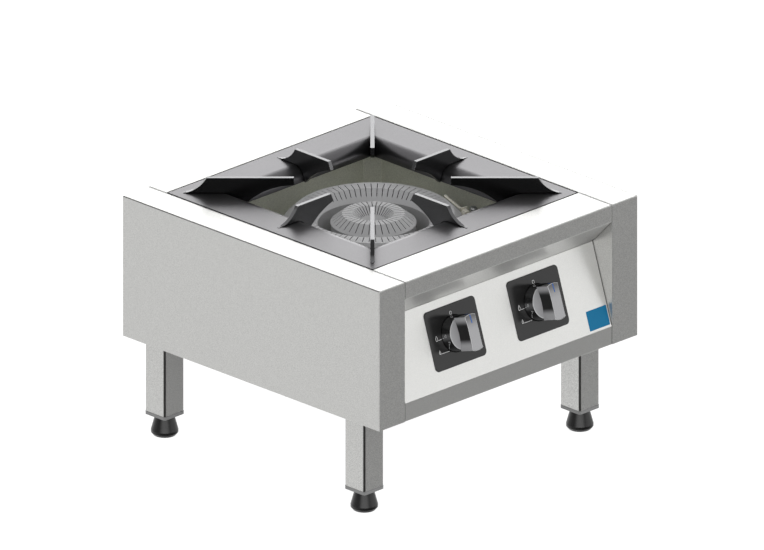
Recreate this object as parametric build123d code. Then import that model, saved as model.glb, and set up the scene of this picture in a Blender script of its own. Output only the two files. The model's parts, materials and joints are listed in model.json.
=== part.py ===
from build123d import *
import os
from math import hypot, sqrt

os.makedirs("parts", exist_ok=True)

# Floor gas stove: a folded stainless casing on four legs, one cast double-ring burner in a square well
# under a lift-off pan support, and two push-and-turn taps on a sloped control panel.
# Millimetres, +Z up. The front faces -Y, and the origin is on the floor under the middle of the casing.

# Casing
body_width = 500.0
body_depth = 496.0
body_height = 206.0
column_width = 49.5
middle_width = 399.2
sheet = 1.5
base_sheet = 2.0
fold_radius = 1.2
flange = 18.0
cheek_depth = 45.0
hem = 14.5
hem_gap = 0.3
fascia_lip = 25.0
rail_height = 27.0
panel_top_height = 142.0
panel_setback = 37.5
front_margin = 63.3

# Legs and feet
leg_size = 38.0
leg_wall = 1.5
leg_corner = 3.0
leg_drop = 115.6
leg_top_plate = 5.0
leg_x = 208.5
leg_front_y = -177.4
leg_rear_y = 208.8
cap_size = 38.8
cap_thickness = 4.8
cap_plug = 12.0
foot_height = 29.7
foot_top_radius = 12.9
foot_widest_radius = 18.9
foot_bottom_radius = 15.7
stem_radius = 5.0
stem_length = 45.0
running_clearance = 0.08

# Pan support
opening_width = 400.0
frame_gap = 2.4
frame_thickness = 6.0
frame_flat = 50.0
frame_bend = 19.3
frame_drop = 20.3
arm_thickness = 5.6
arm_rise = 22.7
arm_gap = 0.3
arm_rebate = 1.2
arm_rebate_depth = 1.4
arm_tip = 0.5

# Burner
burner_forward = 1.9
ring_drop = 29.0
ring_inner_radius = 76.4
ring_outer_radius = 124.0
ring_slots = 72
ring_slot_turn = 1.8
head_drop = 29.5
head_radius = 59.0
head_slots = 36
head_slot_turn = 8.2
slot_width = 1.0
well_width = 314.0
well_facet = 26.0
well_depth = 91.3
gas_bore = 14.0
casting_wall = 4.0
tube_level_drop = 121.3
ring_riser_x = -96.0
ring_riser_setback = 28.0

# Controls
knob_spacing = 160.0
knob_shift = -3.1
knob_up_panel = 68.0
knob_radius = 25.7
knob_rim_radius = 23.0
knob_rim_height = 16.4
knob_crown_slope = 0.19
knob_height = 40.0
knob_foot = -0.2
grip_width = 18.6
grip_flare_start = 13.6
grip_front_radius = 240.0
push_travel = 4.0
bezel_width = 98.4
bezel_height = 84.7
bezel_corner = 6.5
bezel_drop = 1.1
bezel_thickness = 1.0
cup_radius = 26.3
cup_depth = 4.6
cup_wall = 1.0
spindle_radius = 4.0

# Gas line
rail_radius = 10.65
rail_bore = 8.0
pipe_x = 175.0
small_tube_radius = 4.0
pilot_tube_radius = 2.5
lead_radius = 1.2

# Levels and places that follow from these
body_bottom = foot_height + leg_drop
body_top = body_bottom + body_height
side_x = body_width / 2
front_y = -body_depth / 2
rear_y = body_depth / 2
column_inner_x = side_x - column_width
opening_half = opening_width / 2
opening_y = front_y + front_margin + opening_half
opening_front_y = opening_y - opening_half
opening_rear_y = opening_y + opening_half
burner_y = opening_y - burner_forward
panel_foot = (front_y, body_bottom + rail_height)
panel_head = (front_y + panel_setback, body_bottom + panel_top_height)
base_level = body_bottom + sheet
base_top = base_level + base_sheet
frame_underside = body_top - frame_thickness
well_flange_underside = frame_underside - sheet
well_floor = body_top - well_depth
well_floor_top = well_floor + sheet
ring_top = body_top - ring_drop
ring_seat = ring_top - 17.3
head_top = body_top - head_drop
head_seat = head_top - 14.8
tube_level = body_top - tube_level_drop
ring_riser_y = burner_y - ring_riser_setback
corners = {
    "front_left": (-leg_x, leg_front_y),
    "front_right": (leg_x, leg_front_y),
    "rear_left": (-leg_x, leg_rear_y),
    "rear_right": (leg_x, leg_rear_y),
}

# Plane of the control panel: local x across, local y up the slope, local z outwards
panel_length = hypot(panel_setback, panel_head[1] - panel_foot[1])
slope_y = panel_setback / panel_length
slope_z = (panel_head[1] - panel_foot[1]) / panel_length
knob_y = panel_foot[0] + slope_y * knob_up_panel
knob_z = panel_foot[1] + slope_z * knob_up_panel


def tap_plane(side):
    """Plane of the panel's face at a knob's centre, for the left (-1) or right (1) tap."""
    centre = (knob_shift + side * knob_spacing / 2, knob_y, knob_z)
    return Plane(origin=centre, x_dir=(1, 0, 0), z_dir=(0, -slope_z, slope_y))


def tap_point(side, x, up, out):
    """Point in the stove's frame, given from a knob's centre: across, up the slope and outwards."""
    return tap_plane(side).from_local_coords(Vector(x, up, out))


def folded_outline(points, thickness):
    """Face of a folded sheet: a line of points and the same line moved to its left, with mitred folds."""
    moved = []
    for i, point in enumerate(points):
        here = Vector(*point)
        before = (here - Vector(*points[i - 1])).normalized() if i > 0 else None
        after = (Vector(*points[i + 1]) - here).normalized() if i + 1 < len(points) else before
        before = before or after
        left_before = Vector(-before.Y, before.X)
        left_after = Vector(-after.Y, after.X)
        reach = thickness / (1 + left_before.dot(left_after))
        shifted = here + (left_before + left_after) * reach
        moved.append((shifted.X, shifted.Y))
    return make_face(Polyline(*points, *reversed(moved), close=True))


def folded_across(points, width):
    """Sheet folded along lines that run across the stove, from (y, z) points."""
    return extrude(Plane.YZ * folded_outline(points, sheet), width / 2, both=True)


def revolved(points):
    """Solid turned about Z from (radius, z) points."""
    return revolve(Plane.XZ * make_face(Polyline(*points, close=True)), Axis.Z)


def block(x_range, y_range, z_range):
    """Rectangular solid between two limits on each axis."""
    low = Vector(x_range[0], y_range[0], z_range[0])
    high = Vector(x_range[1], y_range[1], z_range[1])
    size = high - low
    middle = (low + high) * 0.5
    return Pos(middle) * Box(size.X, size.Y, size.Z)


def standing(radius, height):
    """Cylinder that stands on the origin."""
    return Cylinder(radius, height, align=(Align.CENTER, Align.CENTER, Align.MIN))


def hanging(radius, height):
    """Cylinder that hangs down from the origin."""
    return Cylinder(radius, height, align=(Align.CENTER, Align.CENTER, Align.MAX))


def upright(x, y, z_range, radius):
    """Vertical cylinder between two levels."""
    return Pos(x, y, z_range[0]) * standing(radius, z_range[1] - z_range[0])


def lengthwise(x, y_range, z, radius):
    """Cylinder that runs from front to rear."""
    return Pos(x, y_range[0], z) * Rot(-90, 0, 0) * standing(radius, y_range[1] - y_range[0])


def bent_tube(points, bend_radius, radius, bore=0):
    """Tube along straight runs joined by tangent arcs."""
    path = FilletPolyline(*points, radius=bend_radius)
    section = Circle(radius)
    if bore:
        section -= Circle(bore)
    return sweep(Plane(origin=path @ 0, z_dir=path % 0) * section, path=path)


def bowed(start, end, rise):
    """Arc between two points whose middle is moved to the left of the line by the rise."""
    a = Vector(*start)
    b = Vector(*end)
    along = (b - a).normalized()
    middle = (a + b) * 0.5 + Vector(-along.Y, along.X) * rise
    return ThreePointArc(a, middle, b)


def edges_near(solid, direction, **places):
    """Edges along one axis that lie at the given places on the other axes."""
    chosen = solid.edges().filter_by(direction)
    for axis_name, place in places.items():
        axis = {"x": Axis.X, "y": Axis.Y, "z": Axis.Z}[axis_name]
        chosen = chosen.filter_by_position(axis, place - 0.05, place + 0.05)
    return chosen


# Casing sheets

screw_levels = [body_bottom + share * body_height for share in (0.15, 0.5, 0.85)]
screw_x = side_x - sheet - flange / 2
casing_screw_radius = 1.9
screw_hole = 2.1


def screw_holes():
    """Clearance holes for the screws of the rear panel."""
    holes = []
    for side in (-1, 1):
        for level in screw_levels:
            holes.append(lengthwise(side * screw_x, (rear_y - 10, rear_y + 10), level, screw_hole))
    return holes


def side_casing():
    """Right-hand column: one sheet folded over the side and top, one over the front and its cheek."""
    ledge_level = well_flange_underside - sheet
    wrap = [
        (side_x - flange, body_bottom),
        (side_x, body_bottom),
        (side_x, body_top),
        (column_inner_x, body_top),
        (column_inner_x, ledge_level),
    ]
    casing = extrude(Plane.XZ * folded_outline(wrap, sheet), body_depth / 2, both=True)
    face = [(column_inner_x, front_y + cheek_depth), (column_inner_x, front_y), (side_x, front_y)]
    casing += Pos(0, 0, body_bottom) * extrude(folded_outline(face, sheet), body_height)
    casing += block(
        (column_inner_x - 12, column_inner_x + sheet),
        (opening_front_y + 1, opening_rear_y - 1),
        (ledge_level, well_flange_underside),
    )
    casing += block(
        (side_x - sheet - flange, side_x - sheet),
        (rear_y - 2 * sheet, rear_y - sheet),
        (base_top + 0.5, body_top - sheet),
    )
    casing -= block(
        (column_inner_x - 1, column_inner_x + sheet),
        (front_y + sheet, front_y + cheek_depth + 1),
        (body_bottom - 1, base_top + 0.5),
    )
    casing -= block(
        (column_inner_x - 1, column_inner_x + sheet),
        (rear_y - 2 * sheet, rear_y + 1),
        (body_bottom, body_top - sheet),
    )
    casing -= screw_holes()
    outer = edges_near(casing, Axis.Y, x=side_x, z=body_top)
    outer += edges_near(casing, Axis.Z, x=side_x, y=front_y)
    outer += edges_near(casing, Axis.X, y=front_y, z=body_top)
    return fillet(outer, fold_radius)


def front_fascia():
    """Top strip, lip and sloped return over the controls."""
    lip_level = body_top - fascia_lip
    return_level = panel_head[1] + hem_gap
    line = [
        (opening_front_y, body_top - 20),
        (opening_front_y, body_top),
        (front_y, body_top),
        (front_y, lip_level),
        (panel_head[0], return_level),
        (panel_head[0] + hem, return_level),
    ]
    fascia = folded_across(line, middle_width)
    outer = edges_near(fascia, Axis.X, y=front_y, z=body_top)
    outer += edges_near(fascia, Axis.X, y=front_y, z=lip_level)
    return fillet(outer, fold_radius)


def control_panel():
    """Sloped panel with its bottom rail, pierced for the cups of the two bezels."""
    line = [
        (panel_head[0] + hem, panel_head[1]),
        panel_head,
        panel_foot,
        (front_y, body_bottom),
        (front_y + flange, body_bottom),
    ]
    panel = folded_across(line, middle_width)
    for side in (-1, 1):
        panel -= tap_plane(side) * Cylinder(cup_radius + cup_wall + 0.3, 4 * sheet)
    outer = edges_near(panel, Axis.X, y=front_y, z=panel_foot[1])
    outer += edges_near(panel, Axis.X, y=front_y, z=body_bottom)
    return fillet(outer, fold_radius)


def rear_panel():
    """Back wall with the rear top strip, vent slots and the hole for the gas inlet."""
    line = [
        (rear_y - flange, body_bottom),
        (rear_y, body_bottom),
        (rear_y, body_top),
        (opening_rear_y, body_top),
        (opening_rear_y, body_top - 20),
    ]
    panel = folded_across(line, middle_width)
    panel += block(
        (-side_x + sheet + hem_gap, side_x - sheet - hem_gap),
        (rear_y - sheet, rear_y),
        (base_top + 0.5, body_top - sheet - hem_gap),
    )
    vents = Sketch() + GridLocations(46, 22, 6, 2) * SlotOverall(34, 6)
    vent_plane = Plane((0, rear_y, body_bottom + 140), x_dir=(1, 0, 0), z_dir=(0, 1, 0))
    panel -= extrude(vent_plane * vents, 3 * sheet, both=True)
    panel -= lengthwise(pipe_x, (rear_y - 10, rear_y + 10), rail_z, inlet_socket_radius + 0.3)
    panel -= screw_holes()
    return fillet(edges_near(panel, Axis.X, y=rear_y, z=body_top), fold_radius)


def casing_screws():
    """Pan-head screws of the rear panel."""
    screws = []
    head = [(0, 0), (4, 0), (3.6, 1.6), (2.4, 2.4), (0, 2.4)]
    for side in (-1, 1):
        for level in screw_levels:
            place = Plane((side * screw_x, rear_y, level), x_dir=(1, 0, 0), z_dir=(0, 1, 0))
            screws.append(place * (revolved(head) + hanging(casing_screw_radius, 8)))
    return Compound(children=screws)


def base_plate():
    """Floor of the casing, lying on the folded flanges, with air slots."""
    width = 2 * (side_x - sheet - hem_gap)
    depth = body_depth - 2 * (sheet + hem_gap)
    plate = Rectangle(width, depth)
    plate -= GridLocations(60, 34, 5, 8) * SlotOverall(44, 8)
    for x, y in corners.values():
        plate -= Pos(x, y) * Circle(stem_radius + 0.3)
    return Pos(0, 0, base_level) * extrude(plate, base_sheet)


# Legs

def leg():
    """Square tube closed at its top by a tapped plate."""
    bottom = foot_height + cap_thickness
    height = base_level - bottom
    outer = RectangleRounded(leg_size, leg_size, leg_corner)
    bore = RectangleRounded(leg_size - 2 * leg_wall, leg_size - 2 * leg_wall, leg_corner - leg_wall)
    tube = extrude(outer, height) - extrude(bore, height - leg_top_plate)
    tube -= Cylinder(stem_radius + 0.05, 3 * height)
    return Pos(0, 0, bottom) * tube


def leg_cap():
    """Plug in the bottom of a leg, tapped for the foot's stem."""
    plug_size = leg_size - 2 * leg_wall - 0.4
    cap = extrude(RectangleRounded(cap_size, cap_size, leg_corner), cap_thickness)
    cap += Pos(0, 0, cap_thickness) * extrude(RectangleRounded(plug_size, plug_size, 1.3), cap_plug)
    cap -= Cylinder(stem_radius + running_clearance, 4 * cap_plug)
    return Pos(0, 0, foot_height) * cap


def foot():
    """Conical foot on a threaded stem."""
    shoulder = foot_height - 0.2
    return revolved([
        (0, 0),
        (foot_bottom_radius, 0),
        (foot_widest_radius, 4),
        (foot_widest_radius, 7.5),
        (foot_top_radius, shoulder),
        (stem_radius, shoulder),
        (stem_radius, foot_height + stem_length),
        (0, foot_height + stem_length),
    ])


def leg_bolts():
    """Hexagon bolts through the base plate into the legs."""
    bolts = []
    for x, y in corners.values():
        head = extrude(RegularPolygon(8.5, 6, major_radius=False), 6.4)
        bolts.append(Pos(x, y, base_top) * (head + hanging(stem_radius, 11)))
    return Compound(children=bolts)


# Pan support

bend_start = opening_half - frame_flat


def mitred_frame(section):
    """Square frame from a (distance, z) section, its four sides mitred at the corners."""
    reach = 2 * opening_half
    side = extrude(Plane.XZ * section, reach, both=True)
    wedge = make_face(Polyline((0, 0), (reach, -reach), (reach, reach), close=True))
    side &= Pos(0, 0, body_top - reach) * extrude(wedge, 2 * reach)
    frame = side
    for turn in (90, 180, 270):
        frame += Rot(0, 0, turn) * side
    return frame


def pan_support_frame():
    """Flat frame whose inner edge bends down into the well."""
    outer = opening_half - frame_gap
    inner = bend_start - frame_bend
    bend_bottom = body_top - frame_bend
    lower = body_top - frame_drop
    inner_bend = frame_bend - frame_thickness
    section = make_face(
        Polyline(
            (bend_start, body_top),
            (outer, body_top),
            (outer, frame_underside),
            (bend_start, frame_underside),
        )
        + RadiusArc((bend_start, frame_underside), (bend_start - inner_bend, bend_bottom), -inner_bend)
        + Polyline(
            (bend_start - inner_bend, bend_bottom),
            (inner + frame_thickness, lower),
            (inner, lower),
            (inner, bend_bottom),
        )
        + RadiusArc((inner, bend_bottom), (bend_start, body_top), frame_bend)
    )
    return Pos(0, opening_y, 0) * mitred_frame(section)


def arm_seat(lift):
    """Space of the frame, a little enlarged at the bend and lifted, that the arms are cut by."""
    reach = opening_half + 60
    bend = frame_bend + arm_gap + lift
    bend_bottom = body_top + lift - bend
    inner = bend_start - bend
    deep = body_top - 60
    section = make_face(
        Polyline(
            (bend_start, body_top + lift),
            (reach, body_top + lift),
            (reach, deep),
            (inner, deep),
            (inner, bend_bottom),
        )
        + RadiusArc((inner, bend_bottom), (bend_start, body_top + lift), bend)
    )
    return mitred_frame(section)


def pan_arm(inner_top, inner_bottom, outer_top, tip, root, under_rise, tip_rise, turn):
    """Arm of plate on the frame: level top, hollow outer end and underside, and a rebated foot."""
    top = body_top + arm_rise
    below = body_top - frame_drop
    start = (inner_bottom[0], body_top + inner_bottom[1])
    blunt = (tip, body_top + arm_tip)
    outline = (
        Polyline(blunt, (tip, below), (root, below))
        + bowed((root, below), start, -under_rise)
        + Polyline(start, (inner_top, top), (outer_top, top))
        + bowed((outer_top, top), blunt, -tip_rise)
    )
    face = Plane.XZ * make_face(outline)
    plate = extrude(face, arm_thickness / 2, both=True)
    core = extrude(face, arm_thickness / 2 - arm_rebate_depth, both=True)
    seated = Rot(0, 0, turn) * plate - arm_seat(arm_rebate)
    seated += Rot(0, 0, turn) * core - arm_seat(0)
    return Pos(0, opening_y, 0) * seated.solids().sort_by(SortBy.VOLUME)[-1]


def corner_arm(turn):
    """Arm on a diagonal of the frame."""
    return pan_arm(107.5, (107.5, 12), 227, 259, 178.5, 8.3, 4.6, turn)


def side_arm(turn):
    """Arm at the middle of a side of the frame."""
    return pan_arm(83, (78, 11.3), 147.3, 182.5, 127, 4.6, 6, turn)


# Burner

def burner_well():
    """Square tub with chamfered corners, hung by a flange that dips under the bent corners of the frame."""
    half_flange = opening_half - 0.8
    outline = chamfer(Rectangle(well_width, well_width).vertices(), well_facet / sqrt(2))
    inside = offset(outline, -sheet, kind=Kind.INTERSECTION)
    well = Pos(0, 0, well_floor) * extrude(outline, frame_underside - well_floor)
    well += Pos(0, 0, well_flange_underside) * extrude(Rectangle(2 * half_flange, 2 * half_flange), sheet)
    well -= Pos(0, 0, well_floor_top) * extrude(inside, well_depth)
    facet_reach = well_width / sqrt(2) - well_facet / 2
    for turn in (45, 135, 225, 315):
        well -= Rot(0, 0, turn) * Pos(facet_reach, 0, frame_underside) * Box(8, 2 * well_facet, 1)
    openings = Circle(gas_bore + casting_wall + 2)
    openings += Pos(ring_riser_x, -ring_riser_setback) * Circle(gas_bore + casting_wall + 2)
    for start in (25, 115, 205, 295):
        openings += SlotArc(CenterArc((0, 0), 67, start, 40), 12)
    for x, y in burner_screw_places:
        openings += Pos(x, y) * Circle(burner_screw_radius + 0.4)
    openings += Pos(pilot_x, pilot_y - burner_y) * Circle(pilot_tube_radius + 2)
    openings += Pos(lead_hole_x, lead_hole_y - burner_y) * Circle(6)
    cuts = Pos(0, burner_y, well_floor - 1) * extrude(openings, 2 * sheet + 1)
    return Pos(0, opening_y, 0) * well - cuts


burner_screw_radius = 3.0
lug_radius = 8.0
ring_lugs = [Vector(100, 0).rotate(Axis.Z, angle) for angle in (40, 140, 290)]
head_lugs = [Vector(27, 0).rotate(Axis.Z, angle) for angle in (0, 180)]
burner_screw_places = [(place.X, place.Y) for place in ring_lugs + head_lugs]
socket_flange_radius = 27.0
socket_flange = 6.0
ring_socket_y = -40.0
head_socket_y = -25.0


def elbow(x, y, top, socket_y, radius):
    """Solid pipe form that rises from a front-to-rear socket."""
    bend = Pos(x, y, tube_level) * Sphere(radius)
    return bend + upright(x, y, (tube_level, top), radius) + lengthwise(x, (socket_y, y), tube_level, radius)


def gas_way(x, y, top, socket_y):
    """Bore of an elbow, open at both ends."""
    bore = elbow(x, y, top, socket_y, gas_bore)
    return bore + lengthwise(x, (socket_y - 1, socket_y), tube_level, gas_bore)


def socket_collar(x, socket_y):
    """Bolting flange round the mouth of an elbow."""
    return lengthwise(x, (socket_y, socket_y + socket_flange), tube_level, socket_flange_radius)


def outer_burner_body():
    """Cast ring channel with its riser, elbow and three lugs."""
    floor = ring_seat - 31
    inner_wall = ring_inner_radius + 5
    channel = revolved([
        (ring_inner_radius, floor), (120, floor), (120, ring_seat), (115, ring_seat), (115, floor + 6),
        (inner_wall, floor + 6), (inner_wall, ring_seat), (ring_inner_radius, ring_seat),
    ])
    body = Pos(0, burner_y, 0) * channel
    for place in ring_lugs:
        body += upright(place.X, burner_y + place.Y, (well_floor_top, floor + 1), lug_radius)
    pipe_radius = gas_bore + casting_wall
    body += elbow(ring_riser_x, ring_riser_y, floor + 1, ring_socket_y, pipe_radius)
    body += socket_collar(ring_riser_x, ring_socket_y)
    body -= gas_way(ring_riser_x, ring_riser_y, floor + 8, ring_socket_y)
    for place in ring_lugs:
        blind = (well_floor_top - 1, well_floor_top + 11)
        body -= upright(place.X, burner_y + place.Y, blind, burner_screw_radius + 0.05)
    return body


def inner_burner_body():
    """Cast cup with its stem, elbow and foot flange."""
    wall = head_radius - 1
    bowl = revolved([
        (0, head_seat - 34), (20, head_seat - 34), (wall - 8, head_seat - 30), (wall, head_seat - 22),
        (wall, head_seat), (50, head_seat), (50, head_seat - 20), (44, head_seat - 25),
        (14, head_seat - 29), (0, head_seat - 29),
    ])
    body = Pos(0, burner_y, 0) * bowl
    body += upright(0, burner_y, (well_floor_top, well_floor_top + 8), 36)
    body += elbow(0, burner_y, head_seat - 31, head_socket_y, gas_bore + casting_wall)
    body += socket_collar(0, head_socket_y)
    body -= gas_way(0, burner_y, head_seat - 20, head_socket_y)
    for place in head_lugs:
        blind = (well_floor_top - 1, well_floor_top + 6)
        body -= upright(place.X, burner_y + place.Y, blind, burner_screw_radius + 0.05)
    return body


def burner_screws():
    """Screws that hold the castings down to the well's floor."""
    screws = []
    for x, y in burner_screw_places:
        head = upright(x, burner_y + y, (well_floor - 4, well_floor), 5)
        shank = upright(x, burner_y + y, (well_floor - 1, well_floor_top + 5), burner_screw_radius)
        screws.append(head + shank)
    return Compound(children=screws)


def slotted(solid, floor_points, count, turn):
    """Turned casting with saw slots; the points give a slot's floor from its inner to its outer end."""
    above = body_top
    outline = [*floor_points, (floor_points[-1][0], above), (floor_points[0][0], above)]
    cutter = extrude(Plane.XZ * make_face(Polyline(*outline, close=True)), slot_width / 2, both=True)
    cuts = [Rot(0, 0, turn + 360 * i / count) * cutter for i in range(count)]
    return solid - cuts


def outer_burner_ring():
    """Loose flame ring: flat crown, sloped sides, a locating lip and saw slots into the gas channel."""
    roof = ring_top - 6
    lip = ring_seat - 4
    lip_inner = ring_inner_radius + 5.4
    ring = revolved([
        (ring_inner_radius, ring_seat), (ring_inner_radius, ring_top - 15), (90, ring_top), (111, ring_top),
        (ring_outer_radius, ring_top - 12.3), (ring_outer_radius, ring_seat),
        (114.6, ring_seat), (114.6, lip), (111, lip), (111, roof - 2), (108, roof), (90.6, roof),
        (lip_inner + 3.6, ring_top - 11.7), (lip_inner + 3.6, lip), (lip_inner, lip), (lip_inner, ring_seat),
    ])
    slot_floor = [(81.3, ring_top - 9.6), (91, roof - 0.5), (107, roof - 0.5)]
    return Pos(0, burner_y, 0) * slotted(ring, slot_floor, ring_slots, ring_slot_turn)


def inner_burner_head():
    """Loose centre head: flat crown round a conical dish, a sloped rim and saw slots."""
    roof = head_top - 6
    dish = head_top - 13.8
    lip = head_seat - 4
    head = revolved([
        (0, dish), (12, dish), (27.8, head_top), (43, head_top), (head_radius, head_top - 12.8),
        (head_radius, head_seat), (49.6, head_seat), (49.6, lip), (46, lip), (46, roof - 5), (41, roof),
        (30.5, roof), (15, lip), (0, lip),
    ])
    slot_floor = [(16.3, head_top - 10), (30.5, roof - 0.5), (41, roof - 0.5), (56.2, head_top - 10.6)]
    return Pos(0, burner_y, 0) * slotted(head, slot_floor, head_slots, head_slot_turn)


injector_radius = 6.0
mouth_y = -108.0
air_box = 18.0


def mixing_tube(x, socket_y):
    """Venturi tube: air windows round the injector, bell mouth, throat and bolting flange."""
    length = socket_y - mouth_y
    bell = 24.0
    throat = 10.0
    wall = 3.5
    front = -air_box
    bore = (
        Polyline((0, front + wall), (bell - wall, front + wall), (bell - wall, 0))
        + bowed((bell - wall, 0), (throat, 24), 3)
        + Polyline((throat, 24), (gas_bore, length), (0, length), (0, front + wall))
    )
    skin = [
        (0, front), (bell, front), (bell, 2), (throat + wall, 24), (gas_bore + wall, length - socket_flange),
        (socket_flange_radius, length - socket_flange), (socket_flange_radius, length), (0, length),
    ]
    tube = revolved(skin) - revolve(Plane.XZ * make_face(bore), Axis.Z)
    tube -= Pos(0, 0, front) * Cylinder(injector_radius + 0.05, 4 * wall)
    window = Pos(0, 0, front / 2 + wall / 2) * Box(3 * bell, 16, air_box - wall - 5)
    tube -= [window, Rot(0, 0, 90) * window]
    return Pos(x, mouth_y, tube_level) * Rot(-90, 0, 0) * tube


def injector(x):
    """Brass jet: hexagon outside the air box, thread through its wall and a tapered nose."""
    jet = revolved([
        (0, -10), (5, -10), (5, 0), (injector_radius, 0), (injector_radius, 6), (2.5, 14), (0, 14),
    ])
    jet += extrude(RegularPolygon(7.5, 6, major_radius=False), -6)
    jet -= Cylinder(0.9, 60)
    jet -= Pos(0, 0, -10) * Cylinder(2.5, 30)
    return Pos(x, mouth_y - air_box, tube_level) * Rot(-90, 0, 0) * jet


# Gas line, taps and controls

rail_drop = -35.0
rail_depth = -45.0
rail_place = tap_point(1, 0, rail_drop, rail_depth)
rail_y = rail_place.Y
rail_z = rail_place.Z
rail_left_x = -115.0
rail_right_x = 115.0
inlet_socket_radius = 14.0
inlet_thread_radius = 10.48
inlet_start_y = rear_y - 22
tap_back = -50.0
chamber_front = -7.0
seat_front = -27.0
seat_back = -43.0
seat_front_radius = 9.7
seat_back_radius = 7.7
plug_clearance = 0.05
tail_size = 6.2
gas_tube_bend = 11.0


def gas_rail():
    """Manifold tube across the front, closed at its left end."""
    length = rail_right_x - rail_left_x
    tube = standing(rail_radius, length) - Pos(0, 0, 4) * standing(rail_bore, length)
    rail = Pos(rail_left_x, rail_y, rail_z) * Rot(0, 90, 0) * tube
    for side in (-1, 1):
        rail -= tap_plane(side) * Pos(0, rail_drop / 2, rail_depth) * Rot(90, 0, 0) * Cylinder(3, -rail_drop)
    return rail


def gas_supply_pipe():
    """Pipe from the inlet at the rear to the right end of the rail."""
    route = [(rail_right_x, rail_y, rail_z), (pipe_x, rail_y, rail_z), (pipe_x, inlet_start_y, rail_z)]
    return bent_tube(route, 40, rail_radius, rail_bore)


def gas_inlet_fitting(end_y):
    """Connector through the rear panel: socket, hexagon and the male thread for a hose."""
    length = end_y - inlet_start_y
    outside = rear_y - inlet_start_y
    fitting = standing(inlet_socket_radius, outside)
    fitting += Pos(0, 0, outside) * extrude(RegularPolygon(16, 6, major_radius=False), 6)
    fitting += standing(inlet_thread_radius, length)
    fitting -= Cylinder(rail_bore, 3 * length)
    fitting = chamfer(fitting.edges().filter_by(GeomType.CIRCLE).sort_by(Axis.Z)[-1:], 0.8)
    return Pos(pipe_x, inlet_start_y, rail_z) * Rot(-90, 0, 0) * fitting


def tap_body(side):
    """Tap housing behind the panel, saddled on the rail: spring chamber, tapered seat and outlet."""
    front = chamber_front + 1.1
    body = revolved([
        (0, front), (20, front), (20, front - 3), (15, front - 3), (15, tap_back + 5), (8, tap_back + 5),
        (8, tap_back), (0, tap_back),
    ])
    body += block((-11, 11), (rail_drop + 3, -8), (rail_depth - 11, rail_depth + 11))
    body -= Pos(0, rail_drop, rail_depth) * Rot(0, 90, 0) * Cylinder(rail_radius + 0.1, 60)
    body -= revolved([
        (0, 1), (spindle_radius + running_clearance, 1), (spindle_radius + running_clearance, chamber_front),
        (seat_front_radius, chamber_front), (seat_front_radius, seat_front), (seat_back_radius, seat_back),
        (3.5, seat_back), (3.5, tap_back - 1), (0, tap_back - 1),
    ])
    inlet_level = (seat_front + seat_back) / 2
    body -= Pos(0, rail_drop / 2, inlet_level) * Rot(90, 0, 0) * Cylinder(3, -rail_drop)
    return tap_plane(side) * body


def tap_plug(side):
    """Tapered plug that turns in the tap, with a cross way for gas and a square socket for the spindle."""
    gap = 0.2
    plug = revolved([
        (0, seat_front - gap), (seat_front_radius - plug_clearance, seat_front - gap),
        (seat_back_radius - plug_clearance, seat_back + gap), (0, seat_back + gap),
    ])
    socket = tail_size + 0.4
    plug -= block((-socket / 2, socket / 2), (-socket / 2, socket / 2), (seat_back + 3, seat_front + 1))
    plug -= Pos(0, 0, seat_back) * Cylinder(3, 10)
    return tap_plane(side) * plug


def tap_spindle(side):
    """Spindle from the knob to the plug: round stem, spring collar and square tail."""
    stem_end = -23.0
    spindle = revolved([
        (0, knob_height - 12), (spindle_radius, knob_height - 12), (spindle_radius, chamber_front - 0.1),
        (8.6, chamber_front - 0.1), (8.6, chamber_front - 2.5), (spindle_radius, chamber_front - 2.5),
        (spindle_radius, stem_end), (0, stem_end),
    ])
    tail_end = seat_back + 3 + push_travel + 0.5
    spindle += block((-tail_size / 2, tail_size / 2), (-tail_size / 2, tail_size / 2), (tail_end, stem_end))
    return tap_plane(side) * spindle


def tap_spring(side):
    """Return spring between the plug and the collar's pushed-in place, in tilted half turns."""
    wire = 0.7
    turns = 5
    bottom = seat_front - 0.1 + wire
    top = chamber_front - 2.5 - push_travel - 0.3 - wire
    half_rise = (top - bottom) / (2 * turns)
    radius = 6.8
    widest = hypot(radius, half_rise / 2)
    coil = Curve()
    for i in range(2 * turns):
        sign = 1 if i % 2 == 0 else -1
        level = bottom + i * half_rise
        start = (sign * radius, 0, level)
        middle = (0, sign * widest, level + half_rise / 2)
        end = (-sign * radius, 0, level + half_rise)
        coil += ThreePointArc(start, middle, end)
    spring = sweep(Plane(origin=(radius, 0, bottom), z_dir=(0, 1, 0)) * Circle(wire), path=coil)
    return tap_plane(side) * spring


def gas_tube(side, injector_x):
    """Small tube from a tap's outlet to its injector."""
    inlet_y = mouth_y - air_box - 10
    start = tap_point(side, 0, 0, tap_back)
    lead = tap_point(side, 0, 0, tap_back - 20)
    turn = (injector_x, inlet_y - 16, tube_level)
    end = (injector_x, inlet_y, tube_level)
    return bent_tube([start, lead, turn, end], gas_tube_bend, small_tube_radius, small_tube_radius - 1)


def bezel(side):
    """Dark plate behind a knob, with the round cup that the knob's foot sinks into."""
    outline = Pos(0, -bezel_drop) * RectangleRounded(bezel_width, bezel_height, bezel_corner)
    plate = extrude(outline, bezel_thickness)
    plate = chamfer(plate.edges().group_by(Axis.Z)[-1], 0.4)
    plate += hanging(cup_radius + cup_wall, cup_depth + cup_wall)
    plate -= Pos(0, 0, -cup_depth) * standing(cup_radius, 4 * cup_depth)
    plate -= Cylinder(spindle_radius + 0.6, 4 * cup_depth)
    return tap_plane(side) * plate


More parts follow.
